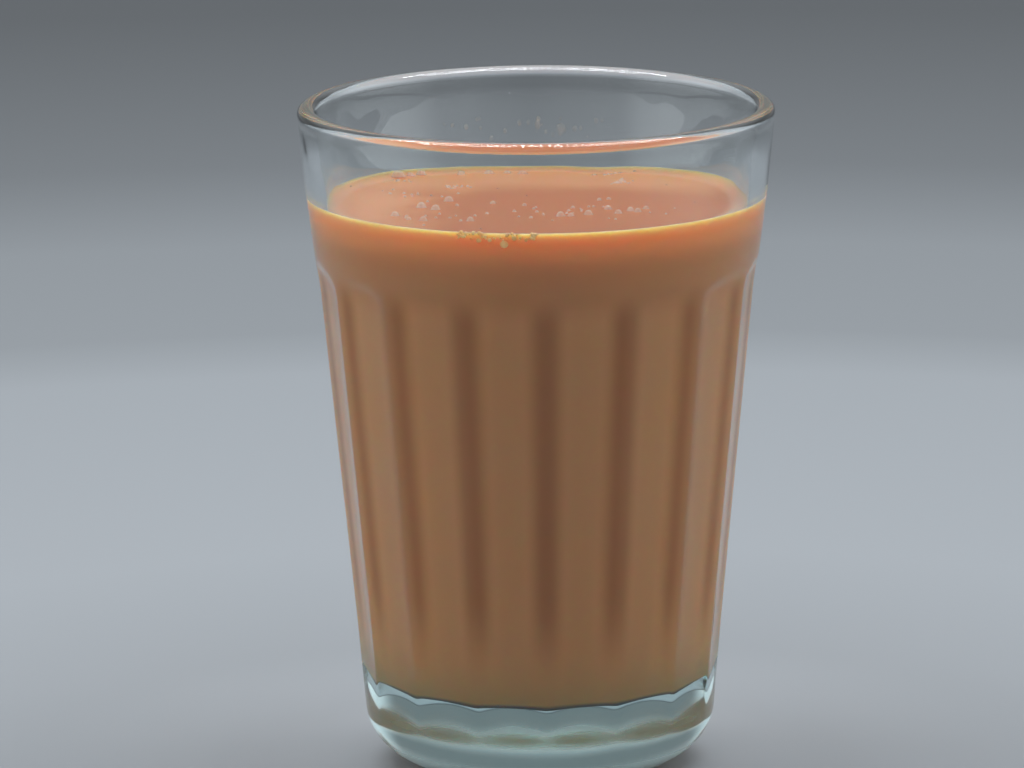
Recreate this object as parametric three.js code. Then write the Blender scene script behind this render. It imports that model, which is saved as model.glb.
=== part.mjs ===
// A pressed drinking glass with sixteen shallow flutes, filled with milky coffee.
// Millimetres, +Z up. The origin is the middle of the underside, on the surface that the glass stands on.
import * as THREE from 'three';

// Outside of the glass: the ridges between the flutes lie on a cone, under a plain band and a rim.
const HEIGHT = 102;
const RIM = { radius: 36.3, rounding: 1.4 }; // outside of the rim's bead, and the height of its round top
const NECK = { z: 99, r: 36.1 }; // just under the bead
const SHOULDER = { z: 74, r: 33.1 }; // where the cone ends and the plain band begins
const FOOT = { z: 9.6, r: 26.81 }; // where the cone ends and the foot's rounded edge begins
const BAND_BULGE = 0.2; // how far the plain band swells out between shoulder and neck
const WALL = 2.8; // from the inner wall to the ridges and the band

// Flutes: they deepen gently above the foot and run up to the plain band, each with a slightly arched top.
const FLUTES = 16;
const FLUTE_DEPTH = 0.95;
const FLUTE_START = { low: 7, high: 24 };
const FLUTE_END = { low: 75, high: 78 };
const ARCH_RISE = 1.2;

// Floor of the glass, and the underside: a flat ring to stand on, round a shallow hollow.
const FLOOR_Z = 12.4;
const FLOOR_CORNER = 11; // radius where the floor turns up into the wall
const RING = { inner: 12.5, outer: 15.5 };
const HOLLOW_DEPTH = 1.5;

// The drink.
const LEVEL_Z = 87.1; // the flat middle of its surface
const MENISCUS = { rise: 1.1, reach: 3 }; // how far it climbs the wall, and how far in that starts
const GAP = 0.3; // between the drink and the glass

// Mesh fineness.
const SIDES_PER_FLUTE = 6;
const SIDES = FLUTES * SIDES_PER_FLUTE;
const DRINK_SIDES = FLUTES * 4;

const lerp = THREE.MathUtils.lerp;
const smoothstep = THREE.MathUtils.smoothstep;
const point = (r, z) => new THREE.Vector2(r, z);

// Evenly spaced values from `from` to `to`, ends included.
function steps(from, to, count) {
  return Array.from({ length: count + 1 }, (_, i) => lerp(from, to, i / count));
}

// Points along part of an ellipse, between two angles from the outward direction.
function arc(centre, radiusR, radiusZ, fromDeg, toDeg, count) {
  return steps(fromDeg, toDeg, count).map((deg) => {
    const a = THREE.MathUtils.degToRad(deg);
    return point(centre.x + radiusR * Math.cos(a), centre.y + radiusZ * Math.sin(a));
  });
}

// The outer wall's radius at the ridges: a cone, then a band that swells a little.
function wallRadius(z) {
  if (z <= SHOULDER.z) {
    return lerp(FOOT.r, SHOULDER.r, (z - FOOT.z) / (SHOULDER.z - FOOT.z));
  }
  const t = (z - SHOULDER.z) / (NECK.z - SHOULDER.z);
  return lerp(SHOULDER.r, NECK.r, t) + BAND_BULGE * Math.sin(Math.PI * t);
}

// How far a flute's surface lies inside the ridges, at an angle round the glass and a height.
function fluteDepth(angle, z) {
  const turn = (angle * FLUTES) / (2 * Math.PI);
  const across = 2 * (turn - Math.floor(turn)) - 1; // -1 and 1 at the ridges, 0 in the middle
  const hollow = 1 - across * across;
  const rise = ARCH_RISE * hollow;
  const start = smoothstep(z, FLUTE_START.low, FLUTE_START.high);
  const end = 1 - smoothstep(z, FLUTE_END.low + rise, FLUTE_END.high + rise);
  return FLUTE_DEPTH * hollow * start * end;
}

// A solid of revolution with +Z up, from a profile that starts and ends on the axis.
function revolve(profile, sides) {
  const geometry = new THREE.LatheGeometry(profile, sides);
  geometry.rotateX(Math.PI / 2);
  return geometry;
}

// The underside and the foot's rounded edge, from the axis outwards.
function undersideProfile() {
  const hollowEdge = { r: RING.inner * 0.7, z: HOLLOW_DEPTH * 0.75 };
  const edge = arc(point(RING.outer, FOOT.z), FOOT.r - RING.outer, FOOT.z, -90, -30, 4);
  return [point(0, HOLLOW_DEPTH), point(hollowEdge.r, hollowEdge.z), point(RING.inner, 0), ...edge];
}

// The rest of the outer wall, with the flutes' ends, up to the neck.
function outerWallProfile() {
  const edge = arc(point(RING.outer, FOOT.z), FOOT.r - RING.outer, FOOT.z, -20, 0, 2);
  const heights = [
    ...steps(FOOT.z + 4, FLUTE_START.high, 2),
    FLUTE_END.low,
    ...steps(FLUTE_END.low + ARCH_RISE, FLUTE_END.high + ARCH_RISE, 4),
    ...steps(FLUTE_END.high + 3 * ARCH_RISE, NECK.z, 2),
  ];
  return [...edge, ...heights.map((z) => point(wallRadius(z), z))];
}

// The bead: out, over the top and in again.
function rimProfile() {
  const half = (RIM.radius - NECK.r + WALL) / 2;
  const centre = point(RIM.radius - half, HEIGHT - RIM.rounding);
  return arc(centre, half, RIM.rounding, 0, 180, 6);
}

// The inner wall and floor, moved inwards by `inset`, from `topZ` down to the axis.
function boreProfile(topZ, inset) {
  const corner = FLOOR_CORNER - inset;
  const cornerZ = FLOOR_Z + FLOOR_CORNER;
  const centre = point(wallRadius(cornerZ) - WALL - FLOOR_CORNER, cornerZ);
  const heights = [
    ...steps(topZ, SHOULDER.z, 2),
    ...steps(lerp(SHOULDER.z, cornerZ, 0.5), cornerZ + 3, 1),
  ];
  return [
    ...heights.map((z) => point(wallRadius(z) - WALL - inset, z)),
    ...arc(centre, corner, corner, -6, -90, 5),
    point(0, FLOOR_Z + inset),
  ];
}

function makeGlass() {
  const underside = undersideProfile();
  const outerWall = outerWallProfile();
  const profile = [...underside, ...outerWall, ...rimProfile(), ...boreProfile(NECK.z, 0)];
  const geometry = revolve(profile, SIDES);

  // Press the flutes into the outer wall, ring by ring.
  const position = geometry.getAttribute('position');
  for (let side = 0; side <= SIDES; side++) {
    const angle = ((side % SIDES) * 2 * Math.PI) / SIDES;
    for (let ring = underside.length; ring < underside.length + outerWall.length; ring++) {
      const i = side * profile.length + ring;
      const { x: radius, y: z } = profile[ring];
      const pressed = 1 - fluteDepth(angle, z) / radius;
      position.setX(i, position.getX(i) * pressed);
      position.setY(i, position.getY(i) * pressed);
    }
  }

  const material = new THREE.MeshStandardMaterial({
    color: 0xc9d6d4,
    roughness: 0.05,
    metalness: 0,
    transparent: true,
    opacity: 0.35,
  });
  const mesh = new THREE.Mesh(geometry, material);
  mesh.name = 'glass';
  return mesh;
}

// The drink's surface from the axis to the wall, which it climbs in a meniscus.
function surfaceProfile() {
  const wall = wallRadius(LEVEL_Z + MENISCUS.rise) - WALL - GAP;
  const climb = steps(0, 1, 4).map((t) => {
    return point(wall - MENISCUS.reach * (1 - t), LEVEL_Z + MENISCUS.rise * Math.pow(t, 2.5));
  });
  return [point(0, LEVEL_Z), ...climb];
}

function makeCoffee() {
  const body = boreProfile(LEVEL_Z + MENISCUS.rise, GAP).slice(1);
  const geometry = revolve([...surfaceProfile(), ...body].reverse(), DRINK_SIDES);
  const material = new THREE.MeshStandardMaterial({
    color: 0xa8764f,
    roughness: 0.25,
    metalness: 0,
  });
  const mesh = new THREE.Mesh(geometry, material);
  mesh.name = 'coffee';
  return mesh;
}

const filledGlass = new THREE.Group();
filledGlass.name = 'glass of coffee';
filledGlass.add(makeGlass(), makeCoffee());

export default filledGlass;
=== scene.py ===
import math
import random

import bpy
from mathutils import Matrix, Vector


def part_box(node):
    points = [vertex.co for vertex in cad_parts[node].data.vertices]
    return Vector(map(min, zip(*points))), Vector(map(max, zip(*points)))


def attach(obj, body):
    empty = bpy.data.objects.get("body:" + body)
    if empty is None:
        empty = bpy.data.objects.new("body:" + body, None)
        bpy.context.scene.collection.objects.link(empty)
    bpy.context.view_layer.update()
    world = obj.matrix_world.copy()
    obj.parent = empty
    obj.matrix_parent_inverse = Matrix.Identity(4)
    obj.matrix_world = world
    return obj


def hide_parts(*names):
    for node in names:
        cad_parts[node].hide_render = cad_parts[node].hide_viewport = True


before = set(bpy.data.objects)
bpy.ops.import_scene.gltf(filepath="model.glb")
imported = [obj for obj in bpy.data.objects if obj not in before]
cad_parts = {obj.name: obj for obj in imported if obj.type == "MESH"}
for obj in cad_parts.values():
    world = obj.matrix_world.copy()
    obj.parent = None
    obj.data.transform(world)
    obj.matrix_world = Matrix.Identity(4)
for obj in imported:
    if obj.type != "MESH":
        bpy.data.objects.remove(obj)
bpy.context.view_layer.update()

MM = 0.001

# The tumbler's sizes, as in the CAD model.
glass_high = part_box("glass")[1]
HEIGHT = glass_high.z
RIM_RADIUS = glass_high.x
RIM_ROUNDING = 1.4 * MM
NECK_Z, NECK_R = 99 * MM, 36.1 * MM
SHOULDER_Z, SHOULDER_R = 74 * MM, 33.1 * MM
FOOT_Z, FOOT_R = 9.6 * MM, 26.81 * MM
BAND_BULGE = 0.2 * MM
WALL = 2.8 * MM
FLUTES = 16
FLUTE_DEPTH = 0.95 * MM
FLUTE_START = (7 * MM, 24 * MM)
FLUTE_END = (75 * MM, 78 * MM)
ARCH_RISE = 1.2 * MM
FLOOR_Z = 12.4 * MM
FLOOR_CORNER = 11 * MM
RING_INNER, RING_OUTER = 12.5 * MM, 15.5 * MM
HOLLOW_DEPTH = 1.5 * MM

# The drink's sizes. It reaches a little into the glass, so that no air gap shows.
MENISCUS_RISE = 1.1 * MM
MENISCUS_REACH = 3 * MM
MENISCUS_CURVE = 2.5
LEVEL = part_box("coffee")[1].z - MENISCUS_RISE
INTO_WALL = 0.08 * MM

# Columns round the glass, and the heights between which the flutes' tops need closer loops.
COLUMNS = FLUTES * 12
ARCH_FROM, ARCH_TO = 72 * MM, 81 * MM

# The overhead light's colour, and the number of small lamps in each strip.
LAMP_WHITE = (0.96, 0.98, 1.0)
LAMPS = 51


def lerp(a, b, t):
    return a + (b - a) * t


def smoothstep(t):
    t = min(max(t, 0), 1)
    return t * t * (3 - 2 * t)


def steps(a, b, count):
    return [lerp(a, b, i / count) for i in range(count + 1)]


def arc(centre, radii, degrees, count):
    """Points along part of an ellipse, between two angles from the outward direction."""
    angles = [math.radians(a) for a in steps(*degrees, count)]
    return [(centre[0] + radii[0] * math.cos(a), centre[1] + radii[1] * math.sin(a)) for a in angles]


def wall_radius(z):
    """Radius of the outer wall at the ridges."""
    if z <= SHOULDER_Z:
        return lerp(FOOT_R, SHOULDER_R, (z - FOOT_Z) / (SHOULDER_Z - FOOT_Z))
    t = (z - SHOULDER_Z) / (NECK_Z - SHOULDER_Z)
    return lerp(SHOULDER_R, NECK_R, t) + BAND_BULGE * math.sin(math.pi * t)


def flute_share(place):
    """How deep a flute is at a place on the outer wall, from 0 at a ridge to 1 in its middle."""
    turn = math.atan2(place.x, -place.y) * FLUTES / (2 * math.pi)
    across = 2 * (turn - math.floor(turn)) - 1
    hollow = 1 - across * across
    start = smoothstep((place.z - FLUTE_START[0]) / (FLUTE_START[1] - FLUTE_START[0]))
    end = smoothstep((place.z - FLUTE_END[0] - ARCH_RISE * hollow) / (FLUTE_END[1] - FLUTE_END[0]))
    return hollow * start * (1 - end)


def raised(name, profile, columns):
    """A turned skin, still open at both ends: a ring is raised loop by loop along a profile."""
    r, z = profile[0]
    bpy.ops.object.select_all(action="DESELECT")
    bpy.ops.mesh.primitive_circle_add(vertices=columns, radius=r, location=(0, 0, z))
    piece = bpy.context.object
    piece.name = name
    bpy.ops.object.transform_apply()
    bpy.ops.object.mode_set(mode="EDIT")
    bpy.ops.mesh.select_mode(type="EDGE")
    bpy.ops.mesh.select_all(action="SELECT")
    for next_r, next_z in profile[1:]:
        bpy.ops.mesh.extrude_edges_move(TRANSFORM_OT_translate={"value": (0, 0, next_z - z)})
        bpy.ops.transform.resize(value=(next_r / r, next_r / r, 1), center_override=(0, 0, 0))
        r, z = next_r, next_z
    bpy.ops.object.mode_set(mode="OBJECT")
    return piece


def close_ends(piece):
    """Draws each open end in to a point on the axis, and turns the faces outwards."""
    bpy.context.view_layer.objects.active = piece
    bpy.ops.object.mode_set(mode="EDIT")
    bpy.ops.mesh.select_all(action="DESELECT")
    bpy.ops.mesh.select_non_manifold()
    bpy.ops.mesh.extrude_edges_move()
    bpy.ops.mesh.merge(type="COLLAPSE")
    bpy.ops.mesh.select_all(action="SELECT")
    bpy.ops.mesh.normals_make_consistent(inside=False)
    bpy.ops.object.mode_set(mode="OBJECT")
    bpy.ops.object.shade_smooth()


def apply_modifier(piece, kind, **settings):
    modifier = piece.modifiers.new(kind.title(), kind)
    for key, value in settings.items():
        setattr(modifier, key, value)
    bpy.context.view_layer.objects.active = piece
    bpy.ops.object.modifier_apply(modifier=modifier.name)


def underside_profile():
    """The shallow hollow, the flat ring and the foot's rounded edge, from the middle outwards."""
    radii = steps(RING_INNER * 0.1, RING_INNER, 6)
    hollow = [(r, HOLLOW_DEPTH * (1 - (r / RING_INNER) ** 2)) for r in radii]
    ring = [(RING_INNER + 1 * MM, 0), (RING_OUTER - 1 * MM, 0)]
    edge = arc((RING_OUTER, FOOT_Z), (FOOT_R - RING_OUTER, FOOT_Z), (-90, 0), 15)
    return hollow + ring + edge


def outer_wall_profile():
    """From the foot up to the neck, with closer loops where the flutes end."""
    heights = steps(FOOT_Z, FLUTE_START[1], 9)[1:] + steps(FLUTE_START[1], ARCH_FROM, 8)[1:]
    heights += steps(ARCH_FROM, ARCH_TO, 14)[1:] + steps(ARCH_TO, NECK_Z, 6)[1:]
    return [(wall_radius(z), z) for z in heights]


def rim_profile():
    """The round bead: out, over the top and in again."""
    half = (RIM_RADIUS - NECK_R + WALL) / 2
    return arc((RIM_RADIUS - half, HEIGHT - RIM_ROUNDING), (half, RIM_ROUNDING), (0, 180), 12)


def bore_profile(top, inset):
    """The inner wall and floor, moved inwards by an inset, from a height down to the axis."""
    corner_z = FLOOR_Z + FLOOR_CORNER
    centre_r = wall_radius(corner_z) - WALL - FLOOR_CORNER
    wall = [(wall_radius(z) - WALL - inset, z) for z in steps(top, corner_z + 2 * MM, 12)]
    corner = arc((centre_r, corner_z), (FLOOR_CORNER - inset, FLOOR_CORNER - inset), (-6, -90), 12)
    floor = [(r, FLOOR_Z + inset) for r in steps(centre_r, centre_r * 0.1, 4)[1:]]
    return wall + corner + floor


def press_flutes(piece):
    """Presses the flutes into the outer wall, each point by its share of the flutes' depth."""
    shares = {}
    for v in piece.data.vertices:
        outside = math.hypot(v.co.x, v.co.y) > wall_radius(v.co.z) - WALL / 2
        if outside and v.co.z < ARCH_TO:
            shares.setdefault(round(flute_share(v.co), 4), []).append(v.index)
    group = piece.vertex_groups.new(name="flutes")
    for share, vertices in shares.items():
        group.add(vertices, share, "REPLACE")
    inwards = {"strength": -FLUTE_DEPTH, "mid_level": 0, "direction": "NORMAL"}
    apply_modifier(piece, "DISPLACE", vertex_group="flutes", **inwards)
    piece.vertex_groups.clear()


def make_tumbler():
    """The glass: a turned skin with its flutes pressed in, smoothed once and closed at both ends."""
    profile = underside_profile() + outer_wall_profile() + rim_profile() + bore_profile(NECK_Z, 0)
    piece = raised("tumbler", profile, COLUMNS)
    press_flutes(piece)
    apply_modifier(piece, "SUBSURF", levels=1, render_levels=1)
    close_ends(piece)
    return piece


def make_coffee():
    """The drink: a flat surface that climbs the wall in a meniscus, over a body that fills the bore."""
    top = LEVEL + MENISCUS_RISE
    wall = wall_radius(top) - WALL + INTO_WALL
    surface = [(r, LEVEL) for r in steps(wall * 0.05, wall - MENISCUS_REACH, 6)]
    for t in steps(0, 1, 8)[1:]:
        surface.append((wall - MENISCUS_REACH * (1 - t), LEVEL + MENISCUS_RISE * t ** MENISCUS_CURVE))
    piece = raised("milky_coffee", surface + bore_profile(top, -INTO_WALL)[1:], COLUMNS)
    close_ends(piece)
    return piece


def surface_height(r):
    """Height of the drink's surface at a distance from the axis."""
    climb = max(0, (r - (wall_radius(LEVEL) - WALL - MENISCUS_REACH)) / MENISCUS_REACH)
    return LEVEL + MENISCUS_RISE * climb ** MENISCUS_CURVE


def model_dome():
    """One bubble, 1 high and 1 in radius: a half ball with a skirt that the drink draws up round it."""
    skirt_height, skirt_radius, sunk = 0.15, 1.25, 0.1
    bpy.ops.object.select_all(action="DESELECT")
    bpy.ops.mesh.primitive_uv_sphere_add(segments=10, ring_count=6, radius=1)
    dome = bpy.context.object
    bpy.ops.object.mode_set(mode="EDIT")
    bpy.ops.mesh.select_all(action="SELECT")
    bpy.ops.mesh.bisect(plane_co=(0, 0, skirt_height), plane_no=(0, 0, -1), clear_outer=True)
    bpy.ops.mesh.select_mode(type="EDGE")
    bpy.ops.mesh.select_all(action="DESELECT")
    bpy.ops.mesh.select_non_manifold()
    bpy.ops.mesh.extrude_edges_move(TRANSFORM_OT_translate={"value": (0, 0, -skirt_height)})
    bpy.ops.transform.resize(value=(skirt_radius, skirt_radius, 1), center_override=(0, 0, 0))
    bpy.ops.mesh.extrude_edges_move(TRANSFORM_OT_translate={"value": (0, 0, -sunk)})
    bpy.ops.mesh.edge_face_add()
    bpy.ops.mesh.select_all(action="SELECT")
    bpy.ops.mesh.normals_make_consistent(inside=False)
    bpy.ops.object.mode_set(mode="OBJECT")
    bpy.ops.object.shade_smooth()
    return dome


def copies(name, original, settings):
    """One piece made of copies of an original, each with its own place, size and facing."""
    made = []
    for place, size, facing in settings:
        one = original.copy()
        one.data = original.data.copy()
        bpy.context.scene.collection.objects.link(one)
        turn = Vector(facing).to_track_quat("Z", "Y").to_matrix().to_4x4()
        one.matrix_world = Matrix.Translation(place) @ turn @ Matrix.Diagonal((*size, 1))
        made.append(one)
    bpy.ops.object.select_all(action="DESELECT")
    for one in made:
        one.select_set(True)
    bpy.context.view_layer.objects.active = made[0]
    bpy.ops.object.join()
    piece = bpy.context.object
    piece.name = name
    bpy.ops.object.transform_apply()
    return piece


def on_surface(x, y, radius, height=1.05):
    """A bubble on the drink: its place, size and facing. Its height is a share of its radius."""
    r = math.hypot(x, y) * MM
    place = Vector((x * MM, y * MM, surface_height(r)))
    return place, (radius * MM, radius * MM, radius * height * MM), (0, 0, 1)


def make_bubbles(dome):
    """Bubbles that float on the drink, in millimetres: single ones, far ones and patches of froth."""
    draw = random.Random(11)
    # x, y and radius
    single = [
        (-17.5, -3.1, 0.75), (-15.4, -4.8, 0.65), (-21.4, -9.5, 0.6), (-17.3, -13.9, 0.6),
        (-10.4, -14.5, 0.6), (3.1, -12.4, 0.65), (4.6, -12.9, 0.5), (7.3, -11.9, 0.65),
        (10.4, -7.6, 0.55), (11.7, -10.9, 0.55), (13.7, -9.0, 0.6), (14.8, -10.0, 0.55),
        (16.2, -7.6, 0.45), (-13.4, 1.6, 0.7), (-6.6, -0.4, 0.4), (9.6, -0.3, 0.35),
        (-19.4, -13.0, 0.4), (5.2, -6.4, 0.35), (-2.0, -3.0, 0.35), (11.0, 0.4, 0.35),
    ]
    far_edge = [
        (-21.1, 22.6, 1.0), (-17.3, 25.4, 0.8), (-10.8, 27.2, 0.75), (-6.4, 27.9, 0.75),
        (-3.6, 28.1, 0.6), (-1.2, 27.4, 0.75), (-19.2, 23.9, 0.6),
    ]
    found = [on_surface(x, y, radius) for x, y, radius in single + far_edge]
    # x, y, the spread along x and along y, and how many
    patches = [
        (-12.3, 13.4, 1.4, 1.9, 16), (13.4, 15.9, 1.6, 2.2, 26), (13.0, 26.4, 2.8, 0.5, 16),
        (-18, 8, 5, 6, 14), (6, -9, 12, 5, 26), (-14, -10, 6, 6, 14), (-20.5, 20.5, 1.5, 1.5, 8),
    ]
    gathered = 0.6
    wall = 31
    for x, y, spread_x, spread_y, count in patches:
        for _ in range(count):
            near_x = draw.gauss(x, spread_x * gathered)
            near_y = draw.gauss(y, spread_y * gathered)
            if math.hypot(near_x, near_y) < wall:
                found.append(on_surface(near_x, near_y, draw.uniform(0.14, 0.3)))
    return copies("bubbles", dome, found)


def against_wall(degrees, above, radius, inwards, stretch=1):
    """A flat bubble or drop on the inner wall: degrees from the near side, millimetres above the level."""
    a = math.radians(degrees)
    outwards = Vector((math.sin(a), -math.cos(a), 0))
    z = LEVEL + above * MM
    r = wall_radius(z) - WALL
    facing = -outwards if inwards else outwards
    sunk, thick = (0.1, 0.4) if inwards else (0.06, 0.25)
    place = (outwards * r - facing * (sunk * MM)) + Vector((0, 0, z))
    return place, (radius * MM, radius * stretch * MM, thick * MM), facing


def make_wall_froth(dome):
    """Froth caught under the surface, against the near wall."""
    draw = random.Random(5)
    found = [against_wall(-10.7, -0.5, 0.75, False), against_wall(-8.0, 0.4, 0.5, False)]
    found += [against_wall(-17.3, 0, 0.5, False), against_wall(-14.4, 0, 0.42, False)]
    for _ in range(34):
        degrees = draw.uniform(-23, -2)
        found.append(against_wall(degrees, draw.uniform(0.1, 1.0), draw.uniform(0.18, 0.36), False))
    return copies("wall_froth", dome, found)


def make_splashes(dome):
    """Drops on the inner wall above the drink, most of them on the far side."""
    draw = random.Random(3)
    found = [against_wall(180 - 9.0, 5.2, 0.75, True), against_wall(180 - 2.6, 5.9, 0.35, True, 2.2)]
    for _ in range(22):
        degrees = 180 - draw.uniform(-24, 22)
        found.append(against_wall(degrees, draw.uniform(3.8, 7.1), draw.uniform(0.12, 0.34), True, 1.4))
    return copies("splashes", dome, found)


def make_grounds(dome):
    """A few fine coffee grounds on the drink."""
    spots = [(-23.7, -20.8), (-29.0, 11.5), (-5.6, 12.0), (-1.4, 5.2)]
    spots += [(20.6, 12.4), (24.0, -3.0), (-9.0, -21.5)]
    return copies("grounds", dome, [on_surface(x, y, 0.16, 0.6) for x, y in spots])


class Wire:
    """A socket of a material's nodes, on which sums are written as plain sums."""

    def __init__(self, tree, socket=None):
        self.tree = tree
        self.socket = socket

    def node(self, kind, settings=None, inputs=None, output=0):
        """Adds a node: first its settings, such as a ramp's stops, then its sockets' values or links."""
        made = self.tree.nodes.new(kind)
        for name, value in (settings or {}).items():
            if name == "stops":
                ramp = made.color_ramp.elements
                for i, (position, colour) in enumerate(value):
                    stop = ramp[i] if i < 2 else ramp.new(position)
                    stop.position = position
                    stop.color = colour
            else:
                setattr(made, name, value)
        for name, value in (inputs or {}).items():
            self.feed(made.inputs[name], value)
        return Wire(self.tree, made.outputs[output])

    def feed(self, socket, value):
        if isinstance(value, Wire):
            self.tree.links.new(value.socket, socket)
        else:
            socket.default_value = value

    def sum(self, operation, a, b=0.5):
        return self.node("ShaderNodeMath", {"operation": operation}, {0: a, 1: b})

    def __add__(self, other):
        return self.sum("ADD", self, other)

    def __radd__(self, other):
        return self.sum("ADD", other, self)

    def __sub__(self, other):
        return self.sum("SUBTRACT", self, other)

    def __rsub__(self, other):
        return self.sum("SUBTRACT", other, self)

    def __mul__(self, other):
        return self.sum("MULTIPLY", self, other)

    def __rmul__(self, other):
        return self.sum("MULTIPLY", other, self)

    def __pow__(self, other):
        return self.sum("POWER", self, other)

    def __abs__(self):
        return self.sum("ABSOLUTE", self)

    def smooth(self, low, high):
        """0 under low, 1 over high, and a soft step between."""
        return self.node(
            "ShaderNodeMapRange",
            {"interpolation_type": "SMOOTHSTEP"},
            {"Value": self, "From Min": low, "From Max": high},
        )

    def mix(self, share, a, b):
        """A colour between two colours."""
        return self.node("ShaderNodeMix", {"data_type": "RGBA"}, {0: share, 6: a, 7: b}, output=2)

    def noise(self, place, scale, detail):
        return self.node("ShaderNodeTexNoise", None, {"Vector": place, "Scale": scale, "Detail": detail})

    def bump(self, height, strength, distance):
        inputs = {"Height": height, "Strength": strength, "Distance": distance}
        return self.node("ShaderNodeBump", None, inputs)


def new_material(name):
    """A material, its shader and the place on the piece, as wires."""
    material = bpy.data.materials.new(name)
    material.use_nodes = True
    tree = material.node_tree
    shader = tree.nodes["Principled BSDF"]
    wire = Wire(tree)
    place = wire.node("ShaderNodeTexCoord", output=3)
    return material, shader, wire, place


def separate(place):
    """The x, y and z of a place."""
    x = place.node("ShaderNodeSeparateXYZ", None, {0: place})
    outputs = x.socket.node.outputs
    return [Wire(place.tree, output) for output in outputs]


def from_axis(x, y):
    return (x * x + y * y) ** 0.5


def let_light_in(wire, shader):
    """Light passes a few millimetres into the drink, red light farthest."""
    wire.feed(shader.inputs["Subsurface Weight"], 1)
    wire.feed(shader.inputs["Subsurface Scale"], 6 * MM)
    wire.feed(shader.inputs["Subsurface Radius"], (1.0, 0.4, 0.15))


def clear_glass():
    """Pressed glass: a little wavy, stippled underneath, fire-polished at the rim, faintly tinted."""
    material, shader, wire, place = new_material("clear_glass")
    x, y, z = separate(place)
    stippled = 1 - z.smooth(3 * MM, 8 * MM)
    fire_polished = z.smooth(HEIGHT - 3 * MM, HEIGHT - 2 * MM)
    waves = wire.noise(place, 70, 1)
    wire.feed(shader.inputs["Base Color"], (1, 1, 1, 1))
    wire.feed(shader.inputs["Transmission Weight"], 1)
    wire.feed(shader.inputs["IOR"], 1.52)
    wire.feed(shader.inputs["Roughness"], stippled * 0.3)
    wire.feed(shader.inputs["Coat Weight"], fire_polished)
    wire.feed(shader.inputs["Coat Roughness"], 0.035)
    wire.feed(shader.inputs["Normal"], wire.bump(waves, 0.35, 0.6 * MM))
    tint = {"Color": (0.55, 0.80, 0.80, 1), "Density": 22}
    volume = wire.node("ShaderNodeVolumeAbsorption", None, tint)
    wire.feed(material.node_tree.nodes["Material Output"].inputs["Volume"], volume)
    return material


def coffee_in_glass():
    """The drink behind the glass: painted shade behind each ridge and in the band below the surface, a
    painted orange glow near its surface and in the meniscus, a warmer painted colour near the floor
    against the shade there, and a dark line of painted shade at its bottom edge.
    """
    material, shader, wire, place = new_material("coffee_in_glass")
    x, y, z = separate(place)
    turn = x.sum("ARCTAN2", x, -1 * y) * (FLUTES / (2 * math.pi))
    from_ridge = abs(turn - turn.sum("ROUND", turn)) * 2
    in_band = z.smooth(73 * MM, 79 * MM)
    # Painted shade: the drink is darkened behind each ridge of the flutes.
    painted_shade_behind_ridge = (1 - from_ridge.smooth(0, 0.6)) * (1 - in_band) * z.smooth(14 * MM, 32 * MM)
    # Painted shade: the band between the flutes' tops and the surface is darkened half as much.
    painted_band_shade = in_band * (1 - z.smooth(81 * MM, 87 * MM))
    # Painted glow: the drink turns more orange towards its surface, as if lit from above through it.
    painted_glow_near_surface = z.smooth(78 * MM, 87.6 * MM)
    # Painted glow: paler in the thin meniscus at the wall.
    painted_meniscus_light = z.smooth(86.2 * MM, 88.2 * MM)
    # Painted light: a warmer colour near the floor offsets the shade and the glass's green tint there.
    painted_light_near_floor = 1 - z.smooth(FLOOR_Z + 1 * MM, FLOOR_Z + 13 * MM)
    # Painted shade: a dark line along the bottom edge of the drink.
    painted_shade_underneath = 1 - z.smooth(FLOOR_Z + 0.5 * MM, FLOOR_Z + 1.4 * MM)
    colour = wire.mix(painted_glow_near_surface, (0.94, 0.52, 0.24, 1), (0.85, 0.38, 0.13, 1))
    colour = wire.mix(painted_meniscus_light, colour, (0.86, 0.47, 0.24, 1))
    colour = wire.mix(painted_light_near_floor, colour, (0.975, 0.50, 0.21, 1))
    colour = wire.mix(painted_shade_behind_ridge + painted_band_shade * 0.5, colour, (0.62, 0.27, 0.10, 1))
    colour = wire.mix(painted_shade_underneath, colour, (0.20, 0.19, 0.18, 1))
    wire.feed(shader.inputs["Base Color"], colour)
    wire.feed(shader.inputs["Roughness"], 1)
    wire.feed(shader.inputs["Specular IOR Level"], 0)
    let_light_in(wire, shader)
    return material


def coffee_surface():
    """The drink's wet top: a painted reflection makes it paler at the far side, painted light makes it
    paler at the left side, and painted light makes it palest in the near meniscus.
    """
    material, shader, wire, place = new_material("coffee_surface")
    x, y, z = separate(place)
    from_middle = from_axis(x, y)
    swirl = wire.noise(place, 55, 3) - 0.5
    # Painted reflection at the far side and painted light at the left side.
    painted_far_reflection = (y * 0.8 + from_middle * 0.35 + swirl * (14 * MM)).smooth(6 * MM, 22 * MM)
    painted_left_light = (x * -1 + swirl * (20 * MM)).smooth(12 * MM, 25 * MM)
    painted_pale_light = painted_far_reflection.sum("MAXIMUM", painted_far_reflection, painted_left_light)
    near_side = (y * -1).smooth(0, 20 * MM)
    # Painted light: palest in the meniscus, most of all on the near side.
    painted_meniscus_light = from_middle.smooth(28.8 * MM, 30.8 * MM) * (0.25 + 0.75 * near_side)
    colour = wire.mix(painted_pale_light, (0.58, 0.165, 0.035, 1), (0.78, 0.31, 0.11, 1))
    colour = wire.mix(painted_meniscus_light, colour, (0.95, 0.58, 0.36, 1))
    wire.feed(shader.inputs["Base Color"], colour)
    wire.feed(shader.inputs["Roughness"], 0.18)
    wire.feed(shader.inputs["IOR"], 1.34)
    let_light_in(wire, shader)
    return material


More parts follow.
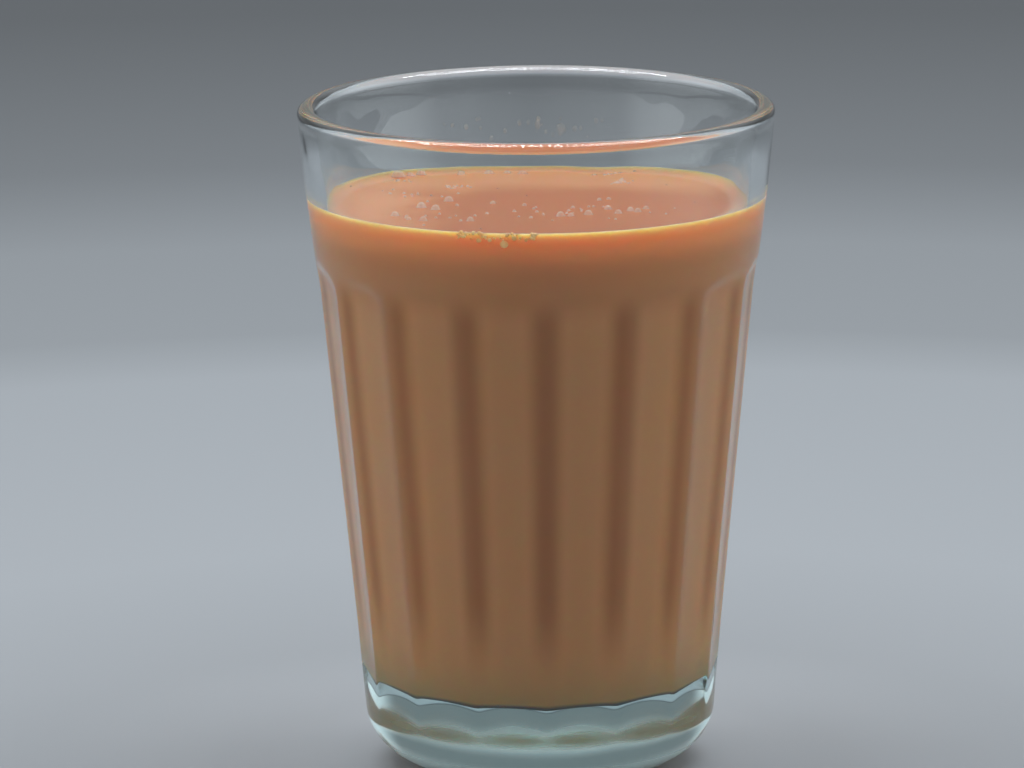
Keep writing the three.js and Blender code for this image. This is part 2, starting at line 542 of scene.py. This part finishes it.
def bubble_film():
    """Thin milky skin of a bubble, a little denser at its outline."""
    material, shader, wire, place = new_material("bubble_film")
    outline = wire.node("ShaderNodeLayerWeight", None, {"Blend": 0.4}, 1)
    milkier = wire.noise(place, 900, 1).smooth(0.35, 0.7)
    colour = wire.mix(milkier, (0.92, 0.72, 0.58, 1), (0.97, 0.86, 0.76, 1))
    wire.feed(shader.inputs["Base Color"], colour)
    wire.feed(shader.inputs["Roughness"], 0.06)
    wire.feed(shader.inputs["Specular IOR Level"], 0.2)
    wire.feed(shader.inputs["Alpha"], 0.36 + 0.14 * outline)
    return material


def froth():
    """Froth at the wall, with a weak painted glow that stands in for the light that the drink passes on to
    it.
    """
    material, shader, wire, place = new_material("froth")
    milkier = wire.noise(place, 900, 1).smooth(0.35, 0.7)
    colour = wire.mix(milkier, (0.96, 0.52, 0.17, 1), (1.0, 0.72, 0.34, 1))
    wire.feed(shader.inputs["Base Color"], colour)
    wire.feed(shader.inputs["Roughness"], 0.5)
    # Painted glow: a weak emission instead of real light passed on by the drink.
    wire.feed(shader.inputs["Emission Color"], (1.0, 0.55, 0.2, 1))
    wire.feed(shader.inputs["Emission Strength"], 0.12)
    return material


def splash_film():
    """Dried drops, hardly more than a haze on the glass."""
    material, shader, wire, place = new_material("splash_film")
    milkier = wire.noise(place, 600, 1).smooth(0.35, 0.7)
    colour = wire.mix(milkier, (0.72, 0.78, 0.74, 1), (0.86, 0.84, 0.76, 1))
    wire.feed(shader.inputs["Base Color"], colour)
    wire.feed(shader.inputs["Roughness"], 0.1)
    wire.feed(shader.inputs["Alpha"], 0.06 + 0.13 * milkier)
    return material


def wet_grounds():
    """Coffee grounds, dark and grainy."""
    material, shader, wire, place = new_material("wet_grounds")
    grain = wire.noise(place, 2500, 2)
    colour = wire.mix(grain, (0.10, 0.04, 0.015, 1), (0.22, 0.10, 0.05, 1))
    wire.feed(shader.inputs["Base Color"], colour)
    wire.feed(shader.inputs["Roughness"], 0.3)
    wire.feed(shader.inputs["Normal"], wire.bump(grain, 0.5, 0.1 * MM))
    return material


def table_top():
    """A plain cool grey table with painted light and shade by the distance from the glass, in metres: a
    painted shadow under the glass, painted light beside its foot and a painted falloff farther out.
    """
    material, shader, wire, place = new_material("table_top")
    x, y, z = separate(place)
    # Painted shadow under the glass, painted light beside the foot, then a painted falloff of light.
    painted_shades = [(0.014, 0.15), (0.022, 0.48), (0.045, 0.385), (0.08, 0.355), (0.15, 0.40)]
    painted_shades += [(0.30, 0.39), (0.34, 0.32), (0.43, 0.315), (0.52, 0.22), (0.72, 0.15)]
    stops = [(distance, (shade, shade * 1.05, shade * 1.115, 1)) for distance, shade in painted_shades]
    colour = wire.node("ShaderNodeValToRGB", {"stops": stops}, {0: from_axis(x, y)})
    wire.feed(shader.inputs["Base Color"], colour)
    wire.feed(shader.inputs["Roughness"], 0.7)
    wire.feed(shader.inputs["Specular IOR Level"], 0.2)
    return material


tumbler = make_tumbler()
tumbler.data.materials.append(clear_glass())
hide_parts("glass")
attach(tumbler, "root")

coffee = make_coffee()
coffee.data.materials.append(coffee_in_glass())
coffee.data.materials.append(coffee_surface())
# The faces that look up are the drink's surface.
for face in coffee.data.polygons:
    face.material_index = int(face.normal.z > 0.3)
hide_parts("coffee")
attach(coffee, "root")

dome = model_dome()
small_pieces = [
    (make_bubbles(dome), bubble_film()),
    (make_wall_froth(dome), froth()),
    (make_splashes(dome), splash_film()),
    (make_grounds(dome), wet_grounds()),
]
bpy.data.objects.remove(dome)
for piece, material in small_pieces:
    piece.data.materials.append(material)
    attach(piece, "root")

# The table, far wider than the view.
bpy.ops.object.select_all(action="DESELECT")
bpy.ops.mesh.primitive_circle_add(vertices=96, radius=4, fill_type="NGON")
table = bpy.context.object
table.name = "table"
table.data.materials.append(table_top())

# The camera, where it stood for the photograph. Its lens is in widths of the picture.
AZIMUTH = math.radians(-2.2)
PITCH = math.radians(11.557)
YAW = math.radians(-0.169)
ROLL = math.radians(-0.451)
STAND = Vector((0, -1.33744, 0.33206))
LENS_WIDTHS = 8950.7 / 1024
SENSOR = 36
cam_data = bpy.data.cameras.new("camera")
cam_data.sensor_width = SENSOR
cam_data.lens = LENS_WIDTHS * SENSOR
cam_data.clip_start = 0.05
cam_data.clip_end = 20
camera = bpy.data.objects.new("camera", cam_data)
bpy.context.scene.collection.objects.link(camera)
forward = Vector((math.sin(YAW) * math.cos(PITCH), math.cos(YAW) * math.cos(PITCH), -math.sin(PITCH)))
right = Vector((math.cos(YAW), -math.sin(YAW), 0))
up = right.cross(forward)
x_axis = right * math.cos(ROLL) + up * math.sin(ROLL)
y_axis = up * math.cos(ROLL) - right * math.sin(ROLL)
pose = Matrix((x_axis, y_axis, -forward)).transposed().to_4x4()
pose.translation = STAND
camera.matrix_world = Matrix.Rotation(AZIMUTH, 4, "Z") @ pose
bpy.context.scene.camera = camera


def studio_air():
    """A dim studio: brighter on both sides and above, darkest in front."""
    world = bpy.data.worlds.new("studio")
    bpy.context.scene.world = world
    world.use_nodes = True
    wire = Wire(world.node_tree)
    x, y, z = separate(wire.node("ShaderNodeTexCoord"))
    side = abs(x).smooth(0.72, 0.98) * 1.1
    front_side = (abs(x) * 0.87 - y * 0.5).smooth(0.35, 0.95) * 0.28
    back = y.smooth(-0.2, 0.3)
    low_back = back * 0.1
    high_back = back * z.smooth(0.18, 0.6) * 0.66
    high_front = (1 - back) * z.smooth(0.3, 0.7) * 0.16
    strength = 0.15 + side + front_side + low_back + high_back + high_front
    background = world.node_tree.nodes["Background"]
    wire.feed(background.inputs["Color"], (0.9, 0.96, 1.0, 1))
    wire.feed(background.inputs["Strength"], strength)


def overhead_light(name, place, size, power):
    """A flat light that faces straight down."""
    data = bpy.data.lights.new(name, "AREA")
    data.shape = "RECTANGLE"
    data.size, data.size_y = size
    data.energy = power
    data.color = LAMP_WHITE
    lamp = bpy.data.objects.new(name, data)
    bpy.context.scene.collection.objects.link(lamp)
    lamp.location = place
    return lamp


def lamp_strip(name, y):
    """A strip of small lamps overhead, which shows only as glints on the rim and the drink."""
    strip = overhead_light(name, (0, y, 0.6), (0.77, 0.05), 1.8)
    strip.visible_diffuse = False
    strip.visible_transmission = False
    strip.data.use_nodes = True
    wire = Wire(strip.data.node_tree)
    along = separate(wire.node("ShaderNodeNewGeometry", output=5))[0]
    beads = (along.sum("SINE", along * (2 * math.pi * LAMPS)) * 0.5 + 0.5) ** 4
    wire.feed(strip.data.node_tree.nodes["Emission"].inputs["Strength"], 0.05 + beads * 3)


studio_air()
panel = overhead_light("overhead", (0, 0.08, 0.65), (0.84, 0.3), 2.45)
panel.visible_glossy = False
lamp_strip("near_strip", -0.06)
lamp_strip("far_strip", 0.12)
bpy.context.scene.view_settings.view_transform = "Standard"
